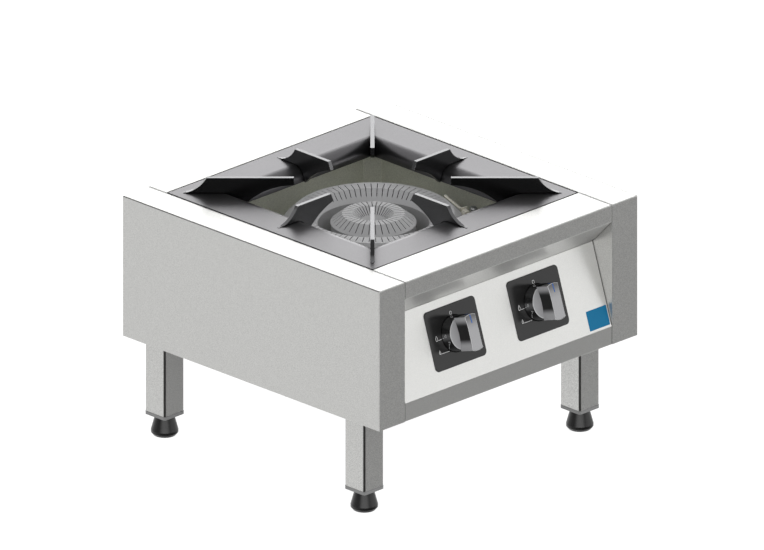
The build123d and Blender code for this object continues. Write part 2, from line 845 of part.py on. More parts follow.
def knob_grip():
    """Bar across the knob: sides flared towards both ends, front curved back over its upper half."""
    half = grip_width / 2
    end_half = half + 0.62
    end_up = sqrt(knob_radius**2 - end_half**2)
    side_line = Line((half, -grip_flare_start), (half, grip_flare_start))
    flare = TangentArc((half, grip_flare_start), (end_half, end_up), tangent=(0, 1))
    right = side_line + flare + mirror(flare, about=Plane.XZ)
    end = ThreePointArc((end_half, end_up), (0, knob_radius), (-end_half, end_up))
    plan = make_face(right + mirror(right, about=Plane.YZ) + end + mirror(end, about=Plane.XZ))
    reach = knob_radius + 2
    fall = grip_front_radius - sqrt(grip_front_radius**2 - reach**2)
    front = TangentArc((0, knob_height), (reach, knob_height - fall), tangent=(1, 0))
    rest = Polyline((reach, knob_height - fall), (reach, knob_rim_height), (-reach, knob_rim_height),
                    (-reach, knob_height), (0, knob_height))
    profile = extrude(Plane.YZ * make_face(front + rest), grip_width, both=True)
    grip = extrude(plan, 2 * knob_height) & profile
    front_edges = grip.edges().filter_by_position(Axis.Z, knob_height - 3, knob_height)
    rim = front_edges.filter_by(lambda edge: hypot(edge.center().X, edge.center().Y) > 1)
    return fillet(rim, 0.6)


def knob(side):
    """Round tapered knob, hollow behind, with a bar grip across it and a socket for the spindle."""
    roof = 13.0
    skirt = 2.0
    hub = 8.0
    hub_foot = knob_foot + 0.8
    crown = knob_rim_height + knob_crown_slope * knob_rim_radius
    base = revolved([
        (0, hub_foot), (hub, hub_foot), (hub, roof), (knob_rim_radius - skirt, roof),
        (knob_radius - skirt, knob_foot), (knob_radius, knob_foot),
        (knob_rim_radius, knob_rim_height), (0, crown),
    ])
    circles = base.edges().filter_by(GeomType.CIRCLE)
    rim = circles.filter_by_position(Axis.Z, knob_rim_height - 0.1, knob_rim_height + 0.1)
    whole = fillet(rim, 0.8) + knob_grip()
    whole -= Cylinder(spindle_radius + 0.02, 2 * (knob_height - 11.5))
    return tap_plane(side) * whole


# Pilot and thermocouple, at the right of the ring

pilot_x = 136.0
pilot_y = -44.0
rod_start = Vector(119.3, -42.6, 305.3)
rod_end = Vector(130.7, 6.6, 312.3)
rod_radius = 2.2
lead_hole_x = 116.5
lead_hole_y = -91.5
shelf_level = 295.0
bracket_sheet = 2.0
rod_line = (rod_end - rod_start).normalized()
nut_length = 9.0


def thermocouple():
    """Sensing rod with its nut, and the copper lead to the right-hand tap."""
    rod_plane = Plane(origin=rod_start, z_dir=rod_line)
    rod = standing(rod_radius, (rod_end - rod_start).length)
    rod = fillet(rod.edges().filter_by(GeomType.CIRCLE).sort_by(Axis.Z)[-1:], 1.8)
    nut = extrude(RegularPolygon(5, 6, major_radius=False), -nut_length)
    tap_end = tap_point(1, 14.8, 0, -40)
    route = [
        rod_start - rod_line * nut_length,
        rod_start - rod_line * 24,
        (114, -84, 282),
        (118, -100, 236),
        (128, -140, 222),
        (128, tap_end.Y, tap_end.Z),
        (tap_end.X + 0.5, tap_end.Y, tap_end.Z),
    ]
    return rod_plane * (rod + nut) + bent_tube(route, 10, lead_radius)


def pilot_bracket():
    """Bent strip on the well's wall: a shelf for the pilot and a tab for the thermocouple."""
    wall_x = well_width / 2 - sheet
    shelf_top = shelf_level + bracket_sheet
    strip = [(wall_x, shelf_level - 16), (wall_x, shelf_top), (pilot_x - 24, shelf_top)]
    bracket = Pos(0, pilot_y, 0) * extrude(Plane.XZ * folded_outline(strip, bracket_sheet), 9, both=True)
    tab = Pos(2, 2.5, 3.5) * Box(11, 14, bracket_sheet)
    tab_plane = Plane(origin=rod_start + rod_line * 1.2, x_dir=(rod_line.Y, -rod_line.X, 0), z_dir=rod_line)
    bracket += tab_plane * tab
    bracket -= Plane(origin=rod_start, z_dir=rod_line) * Cylinder(rod_radius + 0.1, 40)
    bracket -= upright(pilot_x, pilot_y, (shelf_level - 5, shelf_level + 5), 4.1)
    return bracket


def pilot_burner():
    """Small hooded pilot flame holder."""
    shelf_top = shelf_level + bracket_sheet
    burner = revolved([
        (0, shelf_level - 12), (4, shelf_level - 12), (4, shelf_top), (5.5, shelf_top), (5.5, shelf_top + 9),
        (4.5, shelf_top + 11), (0, shelf_top + 11),
    ])
    burner -= Pos(0, 6, shelf_top + 6.5) * Box(3, 12, 3)
    return Pos(pilot_x, pilot_y, 0) * burner


def pilot_tube():
    """Thin gas tube from the right-hand tap up to the pilot."""
    tap_end = tap_point(1, 14.8, 8, -28)
    turn_level = well_floor - 24
    route = [
        (pilot_x, pilot_y, shelf_level - 12),
        (pilot_x, pilot_y, turn_level),
        (pilot_x, tap_end.Y, tap_end.Z),
        (tap_end.X + 0.5, tap_end.Y, tap_end.Z),
    ]
    return bent_tube(route, 14, pilot_tube_radius, pilot_tube_radius - 0.8)


# Assembly

parts = {
    "right_side_casing": side_casing(),
    "left_side_casing": mirror(side_casing(), about=Plane.YZ),
    "front_fascia": front_fascia(),
    "control_panel": control_panel(),
    "rear_panel": rear_panel(),
    "casing_screws": casing_screws(),
    "base_plate": base_plate(),
    "leg_bolts": leg_bolts(),
    "pan_support_frame": pan_support_frame(),
    "burner_well": burner_well(),
    "outer_burner_body": outer_burner_body(),
    "inner_burner_body": inner_burner_body(),
    "burner_screws": burner_screws(),
    "outer_burner_ring": outer_burner_ring(),
    "inner_burner_head": inner_burner_head(),
    "outer_mixing_tube": mixing_tube(ring_riser_x, ring_socket_y),
    "inner_mixing_tube": mixing_tube(0, head_socket_y),
    "outer_injector": injector(ring_riser_x),
    "inner_injector": injector(0),
    "outer_gas_tube": gas_tube(-1, ring_riser_x),
    "inner_gas_tube": gas_tube(1, 0),
    "gas_rail": gas_rail(),
    "gas_supply_pipe": gas_supply_pipe(),
    "thermocouple": thermocouple(),
    "pilot_bracket": pilot_bracket(),
    "pilot_burner": pilot_burner(),
    "pilot_tube": pilot_tube(),
}
for name, (x, y) in corners.items():
    parts["leg_" + name] = Pos(x, y, 0) * leg()
    parts["leg_cap_" + name] = Pos(x, y, 0) * leg_cap()
    parts["foot_" + name] = Pos(x, y, 0) * foot()
for name, side in (("left", -1), ("right", 1)):
    parts["tap_body_" + name] = tap_body(side)
    parts["tap_plug_" + name] = tap_plug(side)
    parts["tap_spindle_" + name] = tap_spindle(side)
    parts["tap_spring_" + name] = tap_spring(side)
    parts["bezel_" + name] = bezel(side)
    parts["knob_" + name] = knob(side)
for name, turn in (("right", 0), ("rear", 90), ("left", 180), ("front", 270)):
    parts["pan_arm_" + name] = side_arm(turn)
for name, turn in (("rear_right", 45), ("rear_left", 135), ("front_left", 225), ("front_right", 315)):
    parts["pan_arm_" + name] = corner_arm(turn)

# The inlet ends as far behind the middle as the knobs stand in front of it
parts["gas_inlet_fitting"] = gas_inlet_fitting(-parts["knob_left"].bounding_box().min.Y)

for name, shape in parts.items():
    export_step(shape, "parts/" + name + ".step")
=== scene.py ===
"""Floor gas stove: finishes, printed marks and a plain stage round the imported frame."""

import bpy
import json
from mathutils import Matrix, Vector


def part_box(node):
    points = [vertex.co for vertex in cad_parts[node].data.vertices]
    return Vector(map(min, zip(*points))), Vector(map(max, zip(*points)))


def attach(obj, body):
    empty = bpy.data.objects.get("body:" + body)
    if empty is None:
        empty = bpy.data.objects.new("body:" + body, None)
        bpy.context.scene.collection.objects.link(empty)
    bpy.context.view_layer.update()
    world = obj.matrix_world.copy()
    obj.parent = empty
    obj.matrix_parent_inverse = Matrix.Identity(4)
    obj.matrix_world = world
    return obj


bl_info = {
    "name": "Floor gas stove",
    "version": (1, 0, 0),
    "blender": (4, 5, 0),
    "location": "View3D > Sidebar > Stove",
    "description": "Gives the packed floor gas stove its finishes, dial marks and a plain studio stage",
    "category": "Object",
}

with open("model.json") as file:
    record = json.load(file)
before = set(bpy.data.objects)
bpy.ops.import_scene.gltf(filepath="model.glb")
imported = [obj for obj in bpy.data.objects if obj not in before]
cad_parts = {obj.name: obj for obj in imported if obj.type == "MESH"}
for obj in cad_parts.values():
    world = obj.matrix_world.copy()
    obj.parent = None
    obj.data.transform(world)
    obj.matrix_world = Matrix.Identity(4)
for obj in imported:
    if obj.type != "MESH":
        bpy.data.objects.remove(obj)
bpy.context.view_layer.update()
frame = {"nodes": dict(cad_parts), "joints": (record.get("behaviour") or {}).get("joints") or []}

import json
import math

import bmesh
import bpy
from mathutils import Vector
from mathutils.bvhtree import BVHTree

PICTURE_WIDTH = 764
PICTURE_SCALE = 730.96  # pixels of the photograph per metre of the stove
SIDES = ("left", "right")
CORNERS = ("front_left", "front_right", "rear_left", "rear_right")
ARMS = ("right", "rear", "left", "front", "rear_right", "rear_left", "front_left", "front_right")
CLEAR = 0.08  # metres off the panel or a knob, from where a line is dropped on it


# Sizes and colours that a user would change

class StoveFinish(bpy.types.PropertyGroup):
    """Colours and grain of the stove's surfaces."""

    steel_colour: bpy.props.FloatVectorProperty(
        name="Stainless steel", description="Satin sheet of the casing, panel and legs",
        subtype="COLOR", size=4, min=0, max=1, default=(0.63, 0.63, 0.615, 1))
    well_colour: bpy.props.FloatVectorProperty(
        name="Burner well", description="Sheet of the well round the burner",
        subtype="COLOR", size=4, min=0, max=1, default=(0.72, 0.73, 0.64, 1))
    zinc_colour: bpy.props.FloatVectorProperty(
        name="Zinc plate", description="Zinc-plated base, screws, pipes and springs",
        subtype="COLOR", size=4, min=0, max=1, default=(0.52, 0.53, 0.54, 1))
    support_colour: bpy.props.FloatVectorProperty(
        name="Pan support frame", description="Dark plated steel of the pan support's frame",
        subtype="COLOR", size=4, min=0, max=1, default=(0.172, 0.169, 0.175, 1))
    arm_colour: bpy.props.FloatVectorProperty(
        name="Pan support arms", description="Dark plated steel of the pan support's arms",
        subtype="COLOR", size=4, min=0, max=1, default=(0.19, 0.19, 0.195, 1))
    sheath_colour: bpy.props.FloatVectorProperty(
        name="Thermocouple", description="Bright sheath of the thermocouple and its bracket",
        subtype="COLOR", size=4, min=0, max=1, default=(0.98, 0.95, 0.84, 1))
    casting_colour: bpy.props.FloatVectorProperty(
        name="Burner castings", description="Bare machined iron of the burner",
        subtype="COLOR", size=4, min=0, max=1, default=(0.38, 0.38, 0.385, 1))
    brass_colour: bpy.props.FloatVectorProperty(
        name="Brass", description="Turned brass of the taps, injectors and inlet",
        subtype="COLOR", size=4, min=0, max=1, default=(0.71, 0.52, 0.23, 1))
    copper_colour: bpy.props.FloatVectorProperty(
        name="Copper", description="Gas tubes",
        subtype="COLOR", size=4, min=0, max=1, default=(0.72, 0.38, 0.24, 1))
    knob_colour: bpy.props.FloatVectorProperty(
        name="Knob plating", description="Smooth plating of the knobs' grips",
        subtype="COLOR", size=4, min=0, max=1, default=(0.215, 0.215, 0.22, 1))
    crown_colour: bpy.props.FloatVectorProperty(
        name="Knob crown", description="Satin face of the knob round its grip",
        subtype="COLOR", size=4, min=0, max=1, default=(0.35, 0.35, 0.36, 1))
    # painted highlight on the rounded rim of the knob's crown
    rim_colour: bpy.props.FloatVectorProperty(
        name="Knob rim", description="Light edge of the knob's crown",
        subtype="COLOR", size=4, min=0, max=1, default=(0.58, 0.58, 0.59, 1))
    skirt_colour: bpy.props.FloatVectorProperty(
        name="Knob skirt", description="Polished side of the knob's base",
        subtype="COLOR", size=4, min=0, max=1, default=(0.62, 0.62, 0.63, 1))
    # painted dark reflection in the middle of the grip's sides, lighter towards its ends
    hollow_colour: bpy.props.FloatVectorProperty(
        name="Knob hollows", description="Dark middle of the grip's sides",
        subtype="COLOR", size=4, min=0, max=1, default=(0.004, 0.004, 0.004, 1))
    bezel_colour: bpy.props.FloatVectorProperty(
        name="Bezel", description="Gloss black plate behind each knob",
        subtype="COLOR", size=4, min=0, max=1, default=(0.012, 0.012, 0.012, 1))
    cap_colour: bpy.props.FloatVectorProperty(
        name="Leg caps", description="Grey caps in the ends of the legs",
        subtype="COLOR", size=4, min=0, max=1, default=(0.20, 0.20, 0.20, 1))
    foot_colour: bpy.props.FloatVectorProperty(
        name="Feet", description="Black moulded feet",
        subtype="COLOR", size=4, min=0, max=1, default=(0.006, 0.006, 0.006, 1))
    ink_colour: bpy.props.FloatVectorProperty(
        name="Dial ink", description="Marks on the bezels",
        subtype="COLOR", size=4, min=0, max=1, default=(0.80, 0.80, 0.80, 1))
    pointer_colour: bpy.props.FloatVectorProperty(
        name="Pointer", description="Line on each knob",
        subtype="COLOR", size=4, min=0, max=1, default=(0.004, 0.075, 0.30, 1))
    label_colour: bpy.props.FloatVectorProperty(
        name="Blank label", description="Plain label on the control panel",
        subtype="COLOR", size=4, min=0, max=1, default=(0.008, 0.145, 0.29, 1))
    grain_size: bpy.props.FloatProperty(
        name="Satin grain", description="Size of the speckle in the satin sheet",
        unit="LENGTH", min=0.0001, max=0.01, default=0.0009)
    edge_radius: bpy.props.FloatProperty(
        name="Edge softness", description="Radius that the shading rounds sheet edges to",
        unit="LENGTH", min=0, max=0.005, default=0.0012)


class StoveMarks(bpy.types.PropertyGroup):
    """Sizes of the marks round each knob, of the pointer and of the label."""

    line: bpy.props.FloatProperty(
        name="Line", description="Width of the printed lines",
        unit="LENGTH", min=0.0001, max=0.005, default=0.0006)
    rule: bpy.props.FloatProperty(
        name="Rule", description="Width of the lines from the flames to the knob",
        unit="LENGTH", min=0.0001, max=0.005, default=0.00045)
    ink: bpy.props.FloatProperty(
        name="Ink", description="Thickness of the printed ink",
        unit="LENGTH", min=0.00001, max=0.001, default=0.00004)
    off_height: bpy.props.FloatProperty(
        name="Off mark", description="Height of the off mark above the knob's axis",
        unit="LENGTH", min=0, max=0.1, default=0.0288)
    off_size: bpy.props.FloatVectorProperty(
        name="Off mark size", description="Width and height of the off mark",
        subtype="XYZ", size=2, unit="LENGTH", default=(0.0044, 0.0056))
    pointer_width: bpy.props.FloatProperty(
        name="Pointer width", description="Width of the line on the knob",
        unit="LENGTH", min=0.0001, max=0.01, default=0.0018)
    label_size: bpy.props.FloatVectorProperty(
        name="Label size", description="Width and height of the blank label",
        subtype="XYZ", size=2, unit="LENGTH", default=(0.0388, 0.0280))
    label_inset: bpy.props.FloatVectorProperty(
        name="Label place", description="Label's middle from the panel's right end and up from its foot",
        subtype="XYZ", size=2, unit="LENGTH", default=(0.0212, 0.0174))


class StoveStage(bpy.types.PropertyGroup):
    """Camera, floor and light."""

    azimuth: bpy.props.FloatProperty(
        name="Azimuth", description="Camera's bearing, to the left of the front",
        subtype="ANGLE", default=math.radians(-45))
    elevation: bpy.props.FloatProperty(
        name="Elevation", description="Camera's height above the horizon",
        subtype="ANGLE", default=math.radians(22.01))
    aim: bpy.props.FloatVectorProperty(
        name="Aim", description="Point in the middle of the picture",
        subtype="XYZ", size=3, unit="LENGTH", default=(0.0016, -0.0016, 0.2342))
    distance: bpy.props.FloatProperty(
        name="Distance", description="Camera's distance from the aim",
        unit="LENGTH", min=1, max=20, default=3.0)
    floor_size: bpy.props.FloatProperty(
        name="Floor", description="Side of the square floor",
        unit="LENGTH", min=2, max=40, default=16.0)


# Node helpers

FLOAT = "NodeSocketFloat"
COLOUR = "NodeSocketColor"
VECTOR = "NodeSocketVector"
GREY = (0.5, 0.5, 0.5, 1.0)
WHITE = (1.0, 1.0, 1.0, 1.0)
ACROSS = (1.0, 0.0, 0.0)
AHEAD = (0.0, 1.0, 0.0)
ABOVE = (0.0, 0.0, 1.0)
NOISE_MEAN = 0.5


def add(tree, kind, inputs=(), **settings):
    """A node of this kind, with its settings and its inputs' values or links."""
    node = tree.nodes.new(kind)
    for name, value in settings.items():
        setattr(node, name, value)
    for name, value in dict(inputs).items():
        if isinstance(value, bpy.types.NodeSocket):
            tree.links.new(value, node.inputs[name])
        else:
            node.inputs[name].default_value = value
    return node


def calc(tree, operation, first, second=0.0, clamp=False):
    """Output of a Math node on two values or sockets."""
    node = add(tree, "ShaderNodeMath", {0: first, 1: second}, operation=operation, use_clamp=clamp)
    return node.outputs[0]


def product(tree, first, *others):
    """Output of values or sockets multiplied together."""
    for other in others:
        first = calc(tree, "MULTIPLY", first, other)
    return first


def opposite(tree, share):
    """Output of one less a share."""
    return calc(tree, "SUBTRACT", 1.0, share)


def between(tree, first, second, share):
    """Output that goes from the first value to the second as the share grows."""
    return calc(tree, "ADD", first, product(tree, share, calc(tree, "SUBTRACT", second, first)))


def ramp(tree, value, low, high, to_low=0.0, to_high=1.0, smooth=False):
    """Output of a Map Range node, clamped at both ends."""
    inputs = {"Value": value, "From Min": low, "From Max": high, "To Min": to_low, "To Max": to_high}
    kind = "SMOOTHSTEP" if smooth else "LINEAR"
    return add(tree, "ShaderNodeMapRange", inputs, interpolation_type=kind, clamp=True).outputs["Result"]


def blend(tree, first, second, share):
    """Output of a mix of two colours."""
    node = add(tree, "ShaderNodeMix", {0: share, 6: first, 7: second}, data_type="RGBA")
    return node.outputs[2]


def scaled(tree, colour, factor):
    """Output of a colour made lighter or darker by a factor."""
    node = add(tree, "ShaderNodeVectorMath", {0: colour, "Scale": factor}, operation="SCALE")
    return node.outputs["Vector"]


def along(tree, vector, direction):
    """Output of the part of a vector along a direction."""
    node = add(tree, "ShaderNodeVectorMath", {0: vector, 1: direction}, operation="DOT_PRODUCT")
    return node.outputs["Value"]


def noise(tree, place, scale, detail):
    """Output of a noise texture."""
    node = add(tree, "ShaderNodeTexNoise", {"Vector": place, "Scale": scale, "Detail": detail})
    return node.outputs["Fac"]


def bevelled(tree, radius):
    """Output of the surface's normal, rounded at its edges to a radius."""
    return add(tree, "ShaderNodeBevel", {"Radius": radius}, samples=4).outputs["Normal"]


def new_group(name, takes, gives):
    """An empty shader group with named sockets; returns the tree and its two ends."""
    tree = bpy.data.node_groups.new(name, "ShaderNodeTree")
    for socket, kind, default in takes:
        made = tree.interface.new_socket(socket, in_out="INPUT", socket_type=kind)
        made.default_value = default
    for socket, kind in gives:
        tree.interface.new_socket(socket, in_out="OUTPUT", socket_type=kind)
    return tree, tree.nodes.new("NodeGroupInput"), tree.nodes.new("NodeGroupOutput")


# Surface effects, as shader groups; limits on a normal's parts are shares of its length

SKIN_TAKES = [("Colour", COLOUR, GREY), ("Grain", FLOAT, 0.001), ("Contrast", FLOAT, 0.1),
              ("Roughness", FLOAT, 0.4), ("Patches", FLOAT, 0.05)]
SKIN_GIVES = [("Colour", COLOUR), ("Roughness", FLOAT), ("Height", FLOAT)]


def close_skin(tree, start, end, swing, cloud, height):
    """Ends a skin group: the colour swings, the gloss follows the cloud, and the relief has this height."""
    shade = calc(tree, "ADD", product(tree, swing, start.outputs["Contrast"]), 1.0)
    tree.links.new(scaled(tree, start.outputs["Colour"], shade), end.inputs["Colour"])
    lean = product(tree, calc(tree, "SUBTRACT", cloud, NOISE_MEAN), start.outputs["Patches"])
    tree.links.new(calc(tree, "ADD", start.outputs["Roughness"], lean), end.inputs["Roughness"])
    tree.links.new(height, end.inputs["Height"])


def speckle_group():
    """Fine even speckle, with soft patches in the gloss, of blasted or brushed sheet."""
    patches_per_metre = 14.0
    swing_gain = 4.0
    tree, start, end = new_group("Satin speckle", SKIN_TAKES, SKIN_GIVES)
    place = add(tree, "ShaderNodeTexCoord").outputs["Object"]
    fine = noise(tree, place, calc(tree, "DIVIDE", 1.0, start.outputs["Grain"]), detail=1.0)
    broad = noise(tree, place, patches_per_metre, detail=3.0)
    swing = product(tree, calc(tree, "SUBTRACT", fine, NOISE_MEAN), swing_gain)
    close_skin(tree, start, end, swing, broad, fine)
    return tree


def cast_group():
    """Skin of a sand casting or moulding: coarse grain, pits and a cloudy tone."""
    clouds_per_metre = 22.0
    pit_depth = 0.5
    tree, start, end = new_group("Cast skin", SKIN_TAKES, SKIN_GIVES)
    place = add(tree, "ShaderNodeTexCoord").outputs["Object"]
    fineness = calc(tree, "DIVIDE", 1.0, start.outputs["Grain"])
    grain = noise(tree, place, fineness, detail=4.0)
    cells = add(tree, "ShaderNodeTexVoronoi", {"Vector": place, "Scale": fineness}).outputs["Distance"]
    cloud = noise(tree, place, clouds_per_metre, detail=3.0)
    swing = calc(tree, "ADD", calc(tree, "SUBTRACT", grain, NOISE_MEAN),
                 calc(tree, "SUBTRACT", cloud, NOISE_MEAN))
    height = calc(tree, "ADD", product(tree, cells, pit_depth), grain)
    close_skin(tree, start, end, swing, cloud, height)
    return tree


def edge_group():
    """Normals rounded at the edges, the colour made lighter there as a painted highlight, and a painted shade
    line along the top's long edges.
    """
    takes = [("Colour", COLOUR, GREY), ("Radius", FLOAT, 0.0006), ("Wear", FLOAT, 0.0), ("Dirt", FLOAT, 0.0)]
    dirt_reach = 3.0  # times the radius
    lightest = 1.35
    tree, start, end = new_group("Soft edges", takes, [("Colour", COLOUR), ("Normal", VECTOR)])
    rounded = bevelled(tree, start.outputs["Radius"])
    flat = add(tree, "ShaderNodeNewGeometry").outputs["Normal"]
    edge = ramp(tree, along(tree, rounded, flat), 0.98, 0.80)
    facing = add(tree, "ShaderNodeTexCoord").outputs["Normal"]
    upward = ramp(tree, along(tree, facing, ABOVE), 0.35, 0.6)
    broad = bevelled(tree, product(tree, start.outputs["Radius"], dirt_reach))
    lean = ramp(tree, calc(tree, "ABSOLUTE", along(tree, broad, ACROSS)), 0.08, 0.35)
    # painted shade: a dark line along the long edges of faces that face up
    soiled = product(tree, upward, lean, start.outputs["Dirt"])
    # painted highlight: the colour made lighter along edges of faces that don't face up
    rubbed = product(tree, edge, start.outputs["Wear"], opposite(tree, upward))
    lighter = calc(tree, "MINIMUM", calc(tree, "ADD", 1.0, rubbed), lightest)
    shade = calc(tree, "MAXIMUM", calc(tree, "SUBTRACT", lighter, soiled), 0.0)
    tree.links.new(scaled(tree, start.outputs["Colour"], shade), end.inputs["Colour"])
    tree.links.new(rounded, end.inputs["Normal"])
    return tree


def seam_group():
    """The colour, darkened by painted shade deep in seams and at the foot of close corners."""
    takes = [("Colour", COLOUR, GREY), ("Reach", FLOAT, 0.0025), ("Depth", FLOAT, 0.9)]
    tree, start, end = new_group("Seam dirt", takes, [("Colour", COLOUR)])
    # painted shade: the colour darkens where ambient occlusion finds the surface sheltered
    shelter = add(tree, "ShaderNodeAmbientOcclusion", {"Distance": start.outputs["Reach"]}, samples=8)
    hidden = ramp(tree, shelter.outputs["AO"], 0.50, 0.36, smooth=True)
    left = opposite(tree, product(tree, hidden, start.outputs["Depth"]))
    tree.links.new(scaled(tree, start.outputs["Colour"], left), end.inputs["Colour"])
    return tree


def knob_group():
    """Zones of a knob: polished skirt, light rim as a painted highlight, satin crown, and a painted dark
    reflection in the middle of the grip's sides.
    """
    takes = [("Axis", VECTOR, ABOVE), ("Up", VECTOR, AHEAD), ("Foot", FLOAT, 0.0), ("Middle", FLOAT, 0.0),
             ("Base Color", COLOUR, GREY), ("Roughness", FLOAT, 0.2), ("Skirt", COLOUR, GREY),
             ("Crown", COLOUR, GREY), ("Rim", COLOUR, GREY), ("Hollow", COLOUR, GREY)]
    gives = [("Base Color", COLOUR), ("Roughness", FLOAT), ("Metallic", FLOAT)]
    skirt_top = 0.0157  # metres from the tap's joint along its axis, and the next two
    grip_foot = 0.016
    crown_top = 0.025
    dark_end = 0.009  # metres from the grip's middle towards its ends, and the next
    light_end = 0.019
    satin_roughness = 0.4  # more than the grip's
    skirt_polish = 0.07  # less rough than the grip
    satin_metal = 0.05
    tree, start, end = new_group("Knob zones", takes, gives)
    place = add(tree, "ShaderNodeTexCoord")
    spot = place.outputs["Object"]
    facing = place.outputs["Normal"]
    height = calc(tree, "SUBTRACT", along(tree, spot, start.outputs["Axis"]), start.outputs["Foot"])
    slope = along(tree, facing, start.outputs["Axis"])
    level = ramp(tree, slope, 0.90, 0.97)
    skirt = calc(tree, "LESS_THAN", height, skirt_top)
    crown = product(tree, level, calc(tree, "LESS_THAN", height, crown_top))
    # painted highlight: the rim's rounded edge is given a light colour
    rim = product(tree, ramp(tree, slope, 0.2, 0.35), opposite(tree, level))
    upright = ramp(tree, calc(tree, "ABSOLUTE", slope), 0.4, 0.2)
    endwise = calc(tree, "ABSOLUTE", along(tree, facing, start.outputs["Up"]))
    side = product(tree, upright, calc(tree, "GREATER_THAN", height, grip_foot),
                   ramp(tree, endwise, 0.75, 0.55))
    reach = calc(tree, "SUBTRACT", along(tree, spot, start.outputs["Up"]), start.outputs["Middle"])
    # painted reflection: the grip's sides are dark in the middle and turn to the crown's colour towards their
    # ends
    worn = ramp(tree, calc(tree, "ABSOLUTE", reach), dark_end, light_end, smooth=True)
    hollow = blend(tree, start.outputs["Hollow"], start.outputs["Crown"], worn)
    tint = blend(tree, start.outputs["Base Color"], start.outputs["Skirt"], skirt)
    tint = blend(tree, tint, start.outputs["Crown"], crown)
    tint = blend(tree, tint, start.outputs["Rim"], rim)
    tree.links.new(blend(tree, tint, hollow, side), end.inputs["Base Color"])
    satin = calc(tree, "ADD", calc(tree, "ADD", crown, rim), side, clamp=True)
    rough = calc(tree, "ADD", start.outputs["Roughness"], product(tree, satin, satin_roughness))
    rough = calc(tree, "SUBTRACT", rough, product(tree, skirt, skirt_polish))
    tree.links.new(rough, end.inputs["Roughness"])
    tree.links.new(ramp(tree, satin, 0.0, 1.0, 1.0, satin_metal), end.inputs["Metallic"])
    return tree


def fold_group():
    """Folded sheet: dulled on its folds or darkened there by painted shade, and darkened underneath by
    painted shade.
    """
    takes = [("Colour", COLOUR, GREY), ("Gloss", FLOAT, 0.85), ("Dulling", FLOAT, 0.5), ("Shade", FLOAT, 0.0),
             ("Film", FLOAT, 0.3)]
    tree, start, end = new_group("Rubbed folds", takes, [("Colour", COLOUR), ("Metallic", FLOAT)])
    facing = add(tree, "ShaderNodeTexCoord").outputs["Normal"]
    aside = calc(tree, "ABSOLUTE", along(tree, facing, ACROSS))
    ahead = calc(tree, "ABSOLUTE", along(tree, facing, AHEAD))
    above = along(tree, facing, ABOVE)
    upright = ramp(tree, calc(tree, "ABSOLUTE", above), 0.95, 0.85)
    fold = product(tree, ramp(tree, aside, 0.15, 0.35), ramp(tree, ahead, 0.15, 0.35), upright)
    under = product(tree, ramp(tree, above, -0.10, -0.25), ramp(tree, above, -0.66, -0.56))
    # painted shade: faces that point steeply down are made darker and less metallic
    film = product(tree, ramp(tree, above, -0.60, -0.68), start.outputs["Film"])
    bent = calc(tree, "MAXIMUM", fold, under)
    dull = calc(tree, "ADD", product(tree, bent, start.outputs["Dulling"]), film)
    tree.links.new(calc(tree, "SUBTRACT", start.outputs["Gloss"], dull), end.inputs["Metallic"])
    # painted shade: the colour darkened on the folds and underneath
    dark = calc(tree, "ADD", product(tree, fold, start.outputs["Shade"]), film, clamp=True)
    tree.links.new(scaled(tree, start.outputs["Colour"], opposite(tree, dark)), end.inputs["Colour"])
    return tree


GROUP_MAKERS = {
    "Satin speckle": speckle_group,
    "Cast skin": cast_group,
    "Soft edges": edge_group,
    "Seam dirt": seam_group,
    "Knob zones": knob_group,
    "Rubbed folds": fold_group,
}


def use_group(tree, name, **values):
    """A named effect placed in a material with its own values."""
    group = bpy.data.node_groups.get(name) or GROUP_MAKERS[name]()
    node = add(tree, "ShaderNodeGroup", node_tree=group)
    for socket, value in values.items():
        node.inputs[socket].default_value = value
    return node


# Finishes; grain, relief and edge are in metres

def finish(name, skin, colour, grain, contrast, roughness, patches, relief, edge, wear=0.0, dirt=0.0,
           seam=0.9, **constants):
    """A material with its colour, gloss and relief from a skin group, painted shade in its seams, and its
    edges softened, with a painted highlight and a painted shade line along them.
    """
    name = f"stove_{name}"
    made = bpy.data.materials.get(name)
    if made:
        return made
    made = bpy.data.materials.new(name)
    made.use_nodes = True
    tree = made.node_tree
    shader = tree.nodes["Principled BSDF"]
    for socket, value in constants.items():
        shader.inputs[socket.replace("_", " ")].default_value = value
    surface = use_group(tree, skin, Colour=colour, Grain=grain, Contrast=contrast,
                        Roughness=roughness, Patches=patches)
    # painted shade in seams and close corners, at this depth
    seams = use_group(tree, "Seam dirt", Depth=seam)
    tree.links.new(surface.outputs["Colour"], seams.inputs["Colour"])
    tree.links.new(seams.outputs["Colour"], shader.inputs["Base Color"])
    tree.links.new(surface.outputs["Roughness"], shader.inputs["Roughness"])
    bump = add(tree, "ShaderNodeBump", {"Strength": 1.0, "Distance": relief,
                                        "Height": surface.outputs["Height"]})
    if edge:
        corners = use_group(tree, "Soft edges", Radius=edge, Wear=wear, Dirt=dirt)
        tree.links.new(seams.outputs["Colour"], corners.inputs["Colour"])
        tree.links.new(corners.outputs["Colour"], shader.inputs["Base Color"])
        tree.links.new(corners.outputs["Normal"], bump.inputs["Normal"])
    tree.links.new(bump.outputs["Normal"], shader.inputs["Normal"])
    return made


def with_folds(made, dulling, shade, film):
    """The finish, with its folds dulled, or polished where the dulling is below zero, and darkened by painted
    shade, with painted shade underneath as well.
    """
    tree = made.node_tree
    if "Folds" in tree.nodes:
        return made
    shader = tree.nodes["Principled BSDF"]
    folds = use_group(tree, "Rubbed folds", Dulling=dulling, Shade=shade, Film=film)
    folds.name = "Folds"
    tree.links.new(shader.inputs["Base Color"].links[0].from_socket, folds.inputs["Colour"])
    tree.links.new(folds.outputs["Colour"], shader.inputs["Base Color"])
    if dulling:
        tree.links.new(folds.outputs["Metallic"], shader.inputs["Metallic"])
    return made


